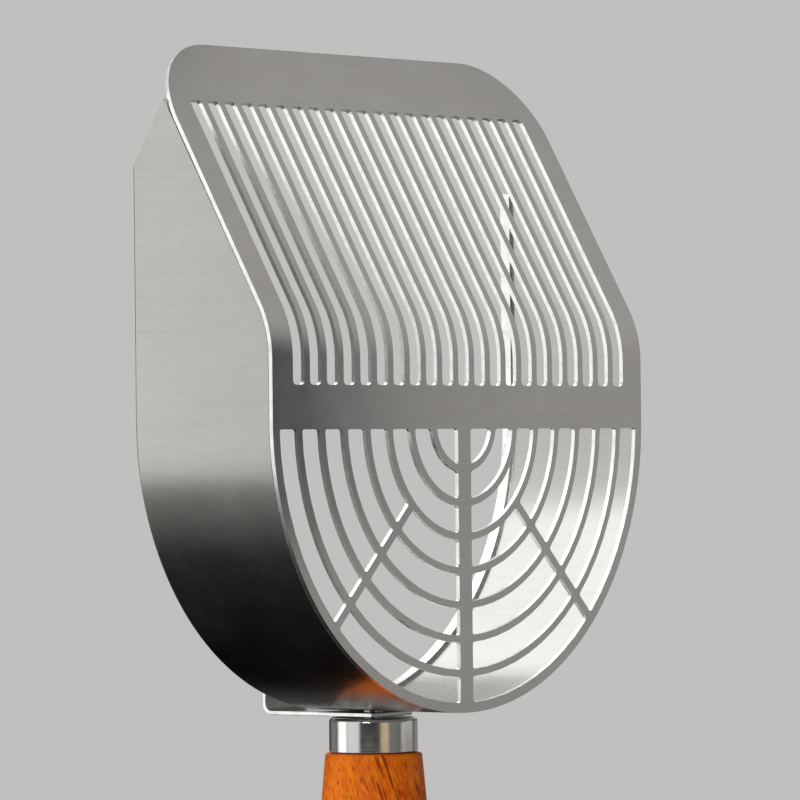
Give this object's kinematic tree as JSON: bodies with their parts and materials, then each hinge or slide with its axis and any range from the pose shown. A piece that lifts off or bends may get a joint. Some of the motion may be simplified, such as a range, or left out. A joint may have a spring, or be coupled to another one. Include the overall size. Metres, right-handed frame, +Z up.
{
  "type": "beach sand scoop",
  "caption": "Hand sand scoop: a bent slotted steel grille closes a U-shaped steel wall with an open back, on a turned wooden handle with a wire hanging loop.",
  "frame": {"origin": "centre of the grille's arcs, on the outer face of the grille plate", "axes": "+X across the scoop, +Y back through the open mouth, +Z up to the digging lip; the handle points down"},
  "size_m": [0.13, 0.0545, 0.3129],
  "materials": {
    "grille_steel": "brushed",
    "wall_steel": "brushed",
    "strip_steel": "bright",
    "polished_steel": "polished",
    "fastener_steel": "bright",
    "brass": "satin",
    "varnished_wood": "varnished"
  },
  "bodies": {
    "scoop": {"grille_plate": "grille_steel", "side_band": "wall_steel", "rim_hook": "strip_steel", "fixing_screw": "fastener_steel", "lock_washer": "fastener_steel", "flat_washer": "fastener_steel", "ferrule": "polished_steel", "threaded_insert": "brass", "handle_grip": "varnished_wood", "eyelet_left": "brass", "eyelet_right": "brass"},
    "bail": {"hanging_bail": "strip_steel"}
  },
  "joints": [
    {"name": "bail_swing", "type": "hinge", "parent": "scoop", "child": "bail", "pos_m": [0, 0.0275, -0.1915], "axis": [1, 0, 0], "range_deg": [-150, 150]}
  ]
}
